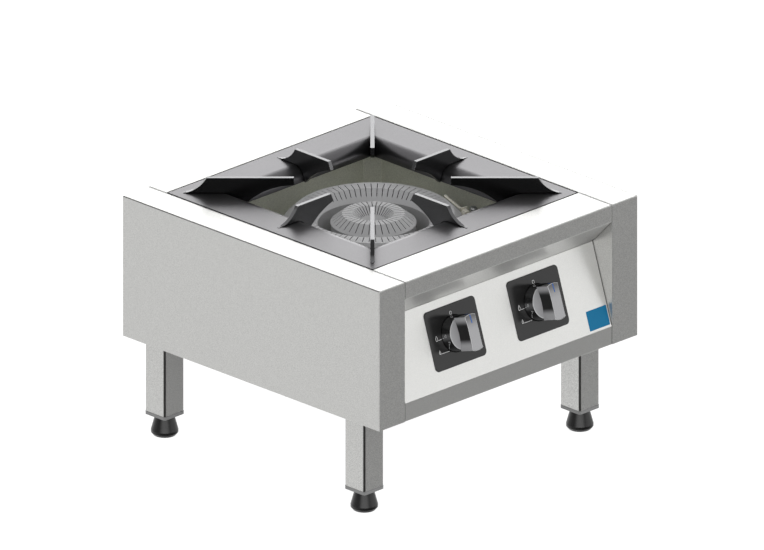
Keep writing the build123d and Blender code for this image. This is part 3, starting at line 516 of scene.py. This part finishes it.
def stainless(name, values, contrast, relief, **others):
    """Stainless sheet in the casing's colour and grain."""
    return finish(name, "Satin speckle", values.steel_colour, values.grain_size, contrast,
                  roughness=0.33, patches=0.02, relief=relief, **others)


def satin_steel(values):
    """Folded sheet of the casing."""
    # painted highlights on the sheet's edges and a painted shade line along the top's long edges
    made = stainless("satin_steel", values, contrast=0.22, relief=0.000004,
                     edge=values.edge_radius, wear=0.6, dirt=0.95, Metallic=1.0)
    # painted shade underneath the casing's sheets
    return with_folds(made, dulling=0.5, shade=0.0, film=0.3)


def panel_steel(values):
    """The casing's sheet, with the crisp edges of the control panel and a lighter painted shade in its seams.
    """
    return stainless("panel_steel", values, contrast=0.07, relief=0.000001,
                     edge=0.0, seam=0.25, Metallic=0.85)


def leg_steel(values):
    """Square tube, polished along its corners, with a painted dark reflection along them and painted shade
    underneath.
    """
    made = stainless("leg_steel", values, contrast=0.30, relief=0.000004, edge=0.0, Metallic=1.0)
    return with_folds(made, dulling=-0.15, shade=0.75, film=0.3)


def well_steel(values):
    """Sheet of the burner well, with a painted highlight along its folds."""
    return finish("well_sheet", "Satin speckle", values.well_colour, grain=0.0012, contrast=0.16,
                  roughness=0.32, patches=0.08, relief=0.000004, edge=0.002, wear=2.2, Metallic=0.3)


def zinc_plate(values):
    """Zinc on the base, screws, pipes and springs."""
    return finish("zinc_plate", "Satin speckle", values.zinc_colour, grain=0.004, contrast=0.12,
                  roughness=0.42, patches=0.12, relief=0.00001, edge=values.edge_radius, Metallic=1.0)


def sheath_steel(values):
    """Bright sheath of the thermocouple, and its bracket."""
    return finish("sheath_steel", "Satin speckle", values.sheath_colour, grain=0.0012, contrast=0.06,
                  roughness=0.28, patches=0.08, relief=0.000004, edge=0.0003, Metallic=0.45)


def support_steel(values):
    """Plated frame of the pan support."""
    return finish("support_steel", "Satin speckle", values.support_colour, grain=0.0009, contrast=0.12,
                  roughness=0.34, patches=0.04, relief=0.000003, edge=0.0004, Metallic=1.0)


def arm_steel(values):
    """Plated flat bar, darkened by painted shade on the arms that stand on the diagonals."""
    made = finish("arm_steel", "Satin speckle", values.arm_colour, grain=0.0009, contrast=0.12,
                  roughness=0.24, patches=0.05, relief=0.000003, edge=0.0004, Metallic=1.0)
    return with_folds(made, dulling=0.0, shade=0.76, film=0.0)


def burner_casting(values):
    """Bare iron of the burner."""
    return finish("burner_casting", "Cast skin", values.casting_colour, grain=0.0011, contrast=0.16,
                  roughness=0.52, patches=0.10, relief=0.00001, edge=0.0004, Metallic=0.15)


def turned_brass(values):
    """Brass of the taps, injectors and inlet."""
    return finish("turned_brass", "Satin speckle", values.brass_colour, grain=0.0012, contrast=0.10,
                  roughness=0.30, patches=0.12, relief=0.000006, edge=0.0004, Metallic=1.0)


def drawn_copper(values):
    """Copper of the gas tubes."""
    return finish("drawn_copper", "Satin speckle", values.copper_colour, grain=0.0020, contrast=0.14,
                  roughness=0.32, patches=0.16, relief=0.000006, edge=0.0003, Metallic=1.0)


def knob_plating(values):
    """Smooth plating on the grip, over a polished skirt and a satin crown, with a painted highlight on the
    crown's rim and a painted dark reflection on the grip's sides.
    """
    made = finish("knob_chrome", "Satin speckle", values.knob_colour, grain=0.0008, contrast=0.03,
                  roughness=0.13, patches=0.03, relief=0.000001, edge=0.0004, Metallic=1.0)
    tree = made.node_tree
    if "Zones" in tree.nodes:
        return made
    shader = tree.nodes["Principled BSDF"]
    place = tap_facing("left")
    grip_rise = 0.002  # metres from the axis up to the grip's middle
    zones = use_group(tree, "Knob zones", Axis=place.out, Up=place.up, Foot=place.out.dot(place.origin),
                      Middle=place.up.dot(place.point(0, grip_rise)), Skirt=values.skirt_colour,
                      Crown=values.crown_colour, Rim=values.rim_colour, Hollow=values.hollow_colour)
    zones.name = "Zones"
    for socket in ("Base Color", "Roughness"):
        tree.links.new(shader.inputs[socket].links[0].from_socket, zones.inputs[socket])
        tree.links.new(zones.outputs[socket], shader.inputs[socket])
    tree.links.new(zones.outputs["Metallic"], shader.inputs["Metallic"])
    return made


def bezel_lacquer(values):
    """Gloss black of the bezels."""
    return finish("bezel_lacquer", "Cast skin", values.bezel_colour, grain=0.0010, contrast=0.20,
                  roughness=0.18, patches=0.03, relief=0.0000008, edge=0.0003, Specular_IOR_Level=0.28)


def cap_plastic(values):
    """Grey moulding of the leg caps."""
    return finish("cap_plastic", "Cast skin", values.cap_colour, grain=0.0009, contrast=0.15,
                  roughness=0.40, patches=0.10, relief=0.000008, edge=0.0005)


def foot_plastic(values):
    """Black moulding of the feet."""
    return finish("foot_plastic", "Cast skin", values.foot_colour, grain=0.0012, contrast=0.25,
                  roughness=0.34, patches=0.12, relief=0.00001, edge=0.0005)


def dial_ink(values):
    """Ink of the marks on the bezels."""
    return finish("dial_ink", "Cast skin", values.ink_colour, grain=0.0006, contrast=0.12,
                  roughness=0.45, patches=0.10, relief=0.000002, edge=0.0)


def pointer_ink(values):
    """Ink of the line on each knob."""
    return finish("pointer_ink", "Cast skin", values.pointer_colour, grain=0.0006, contrast=0.15,
                  roughness=0.35, patches=0.10, relief=0.000002, edge=0.0)


def label_film(values):
    """Matt film of the blank label."""
    return finish("label_film", "Cast skin", values.label_colour, grain=0.0012, contrast=0.10,
                  roughness=0.45, patches=0.08, relief=0.000002, edge=0.0, Specular_IOR_Level=0.1)


def coat_nodes(nodes, material):
    """Puts a finish on the CAD nodes of these names."""
    for name in nodes:
        node = frame["nodes"][name]
        if not node.material_slots:
            node.data.materials.append(material)
        for slot in node.material_slots:
            slot.material = material


# Pieces printed or stuck on the frame

def joint(name):
    """The record's joint of this name."""
    return next(j for j in frame["joints"] if j["name"] == name)


class Facing:
    """A place on the frame with its directions across, up and out, on which flat pieces are laid."""

    def __init__(self, origin, out):
        self.origin = Vector(origin)
        self.out = Vector(out).normalized()
        self.across = Vector(ACROSS)
        self.up = self.out.cross(self.across).normalized()

    def point(self, a, b, c=0.0):
        """The point this far across, up and out."""
        return self.origin + a * self.across + b * self.up + c * self.out


def surface_of(node):
    """Search tree of a CAD node's surface at rest."""
    mesh = frame["nodes"][node].data
    points = [v.co.copy() for v in mesh.vertices]
    return BVHTree.FromPolygons(points, [list(p.vertices) for p in mesh.polygons])


def drop(tree, start, direction):
    """Where a line from start first meets a surface."""
    hit = tree.ray_cast(start, direction)[0]
    if hit is None:
        raise RuntimeError(f"nothing lies under the point {tuple(start)}")
    return hit


def tap_facing(side):
    """The place of a tap's axis on the control panel."""
    turn = joint(f"tap_{side}_turn")
    return Facing(turn["pos_m"], turn["axis"])


def loop_points(outline, count):
    """Points of a closed outline given as a function of the share of the way round."""
    return [outline(i / count) for i in range(count)]


def spread(start, length, steps):
    """Even places along a length, both ends included."""
    return [start + length * i / steps for i in range(steps + 1)]


def landed(place, tree, a, b):
    """The point of a surface under a place given across and up."""
    return drop(tree, place.point(a, b, CLEAR), -place.out)


def band(mesh, place, tree, outer, inner, ink):
    """Adds a printed closed line between two loops of flat points, resting on a surface."""
    loops = []
    for points, level in ((outer, 0.0), (outer, ink), (inner, ink), (inner, 0.0)):
        loops.append([mesh.verts.new(landed(place, tree, a, b) + level * place.out) for a, b in points])
    for lower, upper in zip(loops, loops[1:] + loops[:1]):
        count = len(lower)
        for i in range(count):
            j = (i + 1) % count
            mesh.faces.new((lower[i], lower[j], upper[j], upper[i]))


def patch(mesh, place, tree, outline, ink):
    """Adds a printed filled shape, resting on a surface."""
    feet = [landed(place, tree, a, b) for a, b in outline]
    low = [mesh.verts.new(p) for p in feet]
    top = [mesh.verts.new(p + ink * place.out) for p in feet]
    mesh.faces.new(top)
    mesh.faces.new(low[::-1])
    for i in range(len(low)):
        j = (i + 1) % len(low)
        mesh.faces.new((low[i], low[j], top[j], top[i]))


def mesh_object(name, mesh, material):
    """A new object of one finish from a bmesh."""
    data = bpy.data.meshes.new(name)
    mesh.to_mesh(data)
    mesh.free()
    made = bpy.data.objects.new(name, data)
    bpy.context.scene.collection.objects.link(made)
    data.materials.append(material)
    return made


def new_piece(name, mesh, material, body):
    """An object from a bmesh, which rides on a body and takes its finish from a slot."""
    bmesh.ops.recalc_face_normals(mesh, faces=mesh.faces)
    piece = mesh_object(name, mesh, material)
    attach(piece, body)
    return piece


def ring_outline(share, width, height):
    """An upright oval about its middle."""
    turn = 2 * math.pi * share
    return width / 2 * math.cos(turn), height / 2 * math.sin(turn)


def flame_outline(share, width, height):
    """A pointed flame: round at the foot, drawn in towards a tip that leans a little."""
    pinch = 0.55
    fullness = 1.15
    lean = 0.12  # of the width
    turn = 2 * math.pi * share
    rise = 0.5 - 0.5 * math.cos(turn)
    wide = math.sin(turn) * (1 - rise) ** pinch * fullness
    return wide * width / 2 + lean * width * rise * rise, height * rise


def shrunk(points, line):
    """The loop drawn in by about one line width towards its middle."""
    middle = sum((Vector(p) for p in points), Vector((0.0, 0.0))) / len(points)
    drawn = []
    for p in points:
        arm = Vector(p) - middle
        drawn.append(middle + arm * max(0.0, 1 - line / arm.length))
    return drawn


def shifted(points, a, b):
    """The points moved across and up."""
    return [(p[0] + a, p[1] + b) for p in points]


def rectangle(a0, b0, a1, b1):
    """Corners of a rectangle between two opposite ones."""
    return [(a0, b0), (a1, b0), (a1, b1), (a0, b1)]


def rounded_rectangle(width, height, radius, steps=5):
    """Corner points of a rounded rectangle about its middle."""
    points = []
    for quarter in range(4):
        sign_a = 1 if quarter in (0, 3) else -1
        sign_b = 1 if quarter in (0, 1) else -1
        for i in range(steps + 1):
            angle = math.pi / 2 * (quarter + i / steps)
            points.append((sign_a * (width / 2 - radius) + radius * math.cos(angle),
                           sign_b * (height / 2 - radius) + radius * math.sin(angle)))
    return points


FLAMES = (  # where each flame mark stands from the axis, its size, and its line's height and two ends
    {"at": (-0.0357, -0.0022), "size": (0.0046, 0.0080), "line": (-0.0015, -0.0332, -0.0267)},
    {"at": (-0.0350, -0.0210), "size": (0.0036, 0.0058), "line": (-0.0207, -0.0332, -0.0176)},
)
RING_POINTS = 28
FLAME_POINTS = 32


def dial_marks(side, marks, material):
    """The off ring and the two flames with their lines, printed on a bezel."""
    place = tap_facing(side)
    tree = surface_of(f"bezel_{side}")
    mesh = bmesh.new()
    ring = loop_points(lambda t: ring_outline(t, *marks.off_size), RING_POINTS)
    band(mesh, place, tree, shifted(ring, 0, marks.off_height),
         shifted(shrunk(ring, marks.line), 0, marks.off_height), marks.ink)
    for flame in FLAMES:
        loop = loop_points(lambda t: flame_outline(t, *flame["size"]), FLAME_POINTS)
        band(mesh, place, tree, shifted(loop, *flame["at"]),
             shifted(shrunk(loop, marks.line), *flame["at"]), marks.ink)
        level, start, stop = flame["line"]
        half = marks.rule / 2
        patch(mesh, place, tree, rectangle(start, level - half, stop, level + half), marks.ink)
    return new_piece(f"dial_marks_{side}", mesh, material, "casing")


FRONT_RUN = {"start": 0.0130, "length": 0.0119, "steps": 12}  # up the grip's front, from the axis
GRIP_EDGE = (0.0255, 0.0385)  # up and out to the edge between the grip's front and its upper end
END_RUN = {"start": 0.0378, "length": -0.0080, "steps": 8}  # down the upper end, from the edge


def knob_pointer(side, marks, material):
    """The line on a knob's grip, from its front over its upper end."""
    place = tap_facing(side)
    tree = surface_of(f"knob_{side}")
    half = marks.pointer_width / 2
    slant = (place.up + place.out).normalized()
    rows = []
    for a in (-half, 0.0, half):
        row = [landed(place, tree, a, b) + marks.ink * place.out for b in spread(**FRONT_RUN)]
        edge = drop(tree, place.point(a, *GRIP_EDGE) + CLEAR * slant, -slant)
        row.append(edge + marks.ink * slant)
        for c in spread(**END_RUN):
            row.append(drop(tree, place.point(a, CLEAR, c), -place.up) + marks.ink * place.up)
        rows.append(row)
    mesh = bmesh.new()
    grid = [[mesh.verts.new(p) for p in row] for row in rows]
    for left, right in zip(grid, grid[1:]):
        for i in range(len(left) - 1):
            mesh.faces.new((left[i], right[i], right[i + 1], left[i + 1]))
    return new_piece(f"knob_pointer_{side}", mesh, material, f"knob_{side}")


LABEL_CORNER = 0.0012
LABEL_THICKNESS = 0.0001


def blank_label(marks, material):
    """A plain label on the control panel, near its lower right corner."""
    place = tap_facing("right")
    tree = surface_of("control_panel")
    low, high = (Vector(corner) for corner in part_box("control_panel"))
    foot = (place.origin.y - low.y) / place.up.y
    across = high.x - marks.label_inset[0] - place.origin.x
    shape = rounded_rectangle(*marks.label_size, LABEL_CORNER)
    mesh = bmesh.new()
    patch(mesh, place, tree, shifted(shape, across, marks.label_inset[1] - foot), LABEL_THICKNESS)
    return new_piece("blank_label", mesh, material, "casing")


# Stage

def first_mirrored(tree, far, side, height):
    """What metal shows at a first reflection: a pale floor, a bright band over it and a dark top."""
    floor_level = 0.525
    floor_away = 0.66  # more where the ray goes away from the camera
    floor_left = 0.334  # more to the left of the picture
    floor_least = 0.03
    band_top = 0.08
    band_rise = 0.35  # more before and behind the stove
    band_fade = 0.20
    top_level = 0.12
    sky_level = 0.5
    sky_spread = 0.15  # the sky comes lower at the sides
    low = calc(tree, "ADD", product(tree, far, floor_away), floor_level)
    low = calc(tree, "MAXIMUM", calc(tree, "ADD", low, product(tree, side, floor_left)), floor_least)
    ends = calc(tree, "ABSOLUTE", far)
    edge = calc(tree, "ADD", product(tree, ends, band_rise), band_top)
    above = calc(tree, "SUBTRACT", height, edge)
    round_about = calc(tree, "MAXIMUM", ramp(tree, far, -0.9, -0.1, smooth=True),
                       ramp(tree, far, -0.65, -0.9, smooth=True))
    band_share = product(tree, ramp(tree, above, band_fade, 0.0, smooth=True), round_about,
                         ramp(tree, side, 0.3, 0.8, 1.0, 0.1, smooth=True))
    band_level = ramp(tree, ends, 0.0, 0.93, 1.65, 2.6)
    high = calc(tree, "ADD", product(tree, band_share, band_level), top_level)
    raised = calc(tree, "ADD", height, product(tree, calc(tree, "ABSOLUTE", side), sky_spread))
    high = calc(tree, "ADD", high, ramp(tree, raised, 0.45, 0.60, 0.0, sky_level, smooth=True))
    return between(tree, low, high, ramp(tree, height, -0.10, 0.05, smooth=True))


def later_mirrored(tree, far, height):
    """What metal shows at a further reflection: bright below a dark top, with the near floor in shadow."""
    top_level = 0.08
    low_level = 1.45
    shadow = 0.95
    open_level = ramp(tree, height, 0.36, 0.18, top_level, low_level, smooth=True)
    near_floor = product(tree, ramp(tree, far, -0.2, -0.7), ramp(tree, height, -0.10, -0.35))
    return product(tree, open_level, opposite(tree, product(tree, near_floor, shadow)))


def studio_world(camera_back):
    """Soft light: an even dome, with a sky of its own for what metal mirrors and a white backdrop."""
    dome_level = 0.95
    dome_right = 0.2  # more to the right of the picture
    backdrop = 1.1
    first_bounce = 1.5  # glossy bounces, halfway between the first reflection and the second
    world = bpy.data.worlds.new("studio_light")
    world.use_nodes = True
    tree = world.node_tree
    ray = add(tree, "ShaderNodeTexCoord").outputs["Generated"]
    away = Vector((-camera_back.x, -camera_back.y, 0.0)).normalized()
    far = along(tree, ray, away)
    side = along(tree, ray, Vector((-away.y, away.x, 0.0)))
    height = along(tree, ray, ABOVE)
    path = add(tree, "ShaderNodeLightPath")
    later = calc(tree, "GREATER_THAN", path.outputs["Glossy Depth"], first_bounce)
    mirrored = between(tree, first_mirrored(tree, far, side, height),
                       later_mirrored(tree, far, height), later)
    dome = calc(tree, "SUBTRACT", dome_level, product(tree, side, dome_right))
    level = between(tree, dome, mirrored, path.outputs["Is Glossy Ray"])
    background = tree.nodes["Background"]
    background.inputs["Color"].default_value = WHITE
    strength = between(tree, level, backdrop, path.outputs["Is Camera Ray"])
    tree.links.new(strength, background.inputs["Strength"])
    return world


def pale_floor():
    """Matt paper that glows enough to hide most of the stove's shadow."""
    paper = bpy.data.materials.new("pale_floor")
    paper.use_nodes = True
    shader = paper.node_tree.nodes["Principled BSDF"]
    shader.inputs["Base Color"].default_value = (0.2, 0.2, 0.2, 1.0)
    shader.inputs["Roughness"].default_value = 1.0
    shader.inputs["Specular IOR Level"].default_value = 0.0
    shader.inputs["Emission Color"].default_value = WHITE
    shader.inputs["Emission Strength"].default_value = 0.97
    return paper


def studio_floor(size):
    """A large pale floor that hardly darkens under the stove."""
    mesh = bmesh.new()
    half = size / 2
    mesh.faces.new([mesh.verts.new((x, y, 0.0)) for x, y in rectangle(-half, -half, half, half)])
    floor = mesh_object("studio_floor", mesh, pale_floor())
    floor.visible_glossy = False
    return floor


# Operators

class STOVE_OT_casing(bpy.types.Operator):
    """Finish the casing's sheets, base, screws and burner well"""

    bl_idname = "stove.casing"
    bl_label = "Casing"

    def execute(self, context):
        values = context.scene.stove_finish
        coat_nodes(["left_side_casing", "right_side_casing", "front_fascia", "rear_panel"],
                   satin_steel(values))
        coat_nodes(["control_panel"], panel_steel(values))
        coat_nodes(["base_plate", "casing_screws", "leg_bolts"], zinc_plate(values))
        coat_nodes(["burner_well"], well_steel(values))
        return {"FINISHED"}


class STOVE_OT_legs(bpy.types.Operator):
    """Finish the legs, their caps and the screw feet"""

    bl_idname = "stove.legs"
    bl_label = "Legs and feet"

    def execute(self, context):
        values = context.scene.stove_finish
        coat_nodes([f"leg_{c}" for c in CORNERS], leg_steel(values))
        coat_nodes([f"leg_cap_{c}" for c in CORNERS], cap_plastic(values))
        coat_nodes([f"foot_{c}" for c in CORNERS], foot_plastic(values))
        return {"FINISHED"}


class STOVE_OT_pan_support(bpy.types.Operator):
    """Finish the pan support's frame and arms"""

    bl_idname = "stove.pan_support"
    bl_label = "Pan support"

    def execute(self, context):
        values = context.scene.stove_finish
        coat_nodes(["pan_support_frame"], support_steel(values))
        coat_nodes([f"pan_arm_{a}" for a in ARMS], arm_steel(values))
        return {"FINISHED"}


class STOVE_OT_burner(bpy.types.Operator):
    """Finish the burner castings and the pilot"""

    bl_idname = "stove.burner"
    bl_label = "Burner and pilot"

    def execute(self, context):
        values = context.scene.stove_finish
        coat_nodes(["outer_burner_body", "inner_burner_body", "outer_burner_ring", "inner_burner_head"],
                   burner_casting(values))
        coat_nodes(["pilot_bracket", "thermocouple"], sheath_steel(values))
        coat_nodes(["burner_screws", "pilot_burner"], zinc_plate(values))
        return {"FINISHED"}


class STOVE_OT_gas_line(bpy.types.Operator):
    """Finish the gas rail, tubes, injectors and inlet"""

    bl_idname = "stove.gas_line"
    bl_label = "Gas line"

    def execute(self, context):
        values = context.scene.stove_finish
        coat_nodes(["outer_gas_tube", "inner_gas_tube", "pilot_tube"], drawn_copper(values))
        coat_nodes(["outer_injector", "inner_injector", "gas_inlet_fitting"], turned_brass(values))
        coat_nodes(["gas_rail", "gas_supply_pipe", "outer_mixing_tube", "inner_mixing_tube"],
                   zinc_plate(values))
        return {"FINISHED"}


class STOVE_OT_controls(bpy.types.Operator):
    """Finish the taps, bezels and knobs, and print their marks"""

    bl_idname = "stove.controls"
    bl_label = "Taps and knobs"

    def execute(self, context):
        values = context.scene.stove_finish
        marks = context.scene.stove_marks
        for side in SIDES:
            coat_nodes([f"tap_body_{side}", f"tap_plug_{side}"], turned_brass(values))
            coat_nodes([f"tap_spindle_{side}", f"tap_spring_{side}"], zinc_plate(values))
            coat_nodes([f"bezel_{side}"], bezel_lacquer(values))
            coat_nodes([f"knob_{side}"], knob_plating(values))
            dial_marks(side, marks, dial_ink(values))
            knob_pointer(side, marks, pointer_ink(values))
        return {"FINISHED"}


class STOVE_OT_label(bpy.types.Operator):
    """Stick a plain blank label on the control panel"""

    bl_idname = "stove.label"
    bl_label = "Blank label"

    def execute(self, context):
        blank_label(context.scene.stove_marks, label_film(context.scene.stove_finish))
        return {"FINISHED"}


class STOVE_OT_stage(bpy.types.Operator):
    """Lay the pale floor, light it softly and set the camera"""

    bl_idname = "stove.stage"
    bl_label = "Stage"

    def execute(self, context):
        scene = context.scene
        stage = scene.stove_stage
        turn, rise = stage.azimuth, stage.elevation
        back = Vector((math.sin(turn) * math.cos(rise), -math.cos(turn) * math.cos(rise), math.sin(rise)))
        lens = bpy.data.cameras.new("stove_camera")
        lens.type = "ORTHO"
        lens.ortho_scale = PICTURE_WIDTH / PICTURE_SCALE
        camera = bpy.data.objects.new("stove_camera", lens)
        scene.collection.objects.link(camera)
        camera.location = Vector(stage.aim) + back * stage.distance
        camera.rotation_euler = (-back).to_track_quat("-Z", "Y").to_euler()
        scene.camera = camera
        scene.world = studio_world(back)
        scene.view_settings.view_transform = "Standard"
        studio_floor(stage.floor_size)
        return {"FINISHED"}


class STOVE_PT_panel(bpy.types.Panel):
    """Sidebar list of the stove's pieces"""

    bl_idname = "STOVE_PT_panel"
    bl_label = "Floor gas stove"
    bl_space_type = "VIEW_3D"
    bl_region_type = "UI"
    bl_category = "Stove"

    def draw(self, context):
        for operator in STEPS:
            self.layout.operator(operator.bl_idname)


STEPS = (STOVE_OT_casing, STOVE_OT_legs, STOVE_OT_pan_support, STOVE_OT_burner, STOVE_OT_gas_line,
         STOVE_OT_controls, STOVE_OT_label, STOVE_OT_stage)
VALUES = {"stove_finish": StoveFinish, "stove_marks": StoveMarks, "stove_stage": StoveStage}
CLASSES = tuple(VALUES.values()) + STEPS + (STOVE_PT_panel,)


def register():
    for cls in CLASSES:
        bpy.utils.register_class(cls)
    for name, cls in VALUES.items():
        setattr(bpy.types.Scene, name, bpy.props.PointerProperty(type=cls))


def unregister():
    for name in VALUES:
        delattr(bpy.types.Scene, name)
    for cls in reversed(CLASSES):
        bpy.utils.unregister_class(cls)


def main():
    register()
    bpy.ops.stove.casing()
    bpy.ops.stove.legs()
    bpy.ops.stove.pan_support()
    bpy.ops.stove.burner()
    bpy.ops.stove.gas_line()
    bpy.ops.stove.controls()
    bpy.ops.stove.label()
    bpy.ops.stove.stage()


if __name__ == "__main__":
    main()
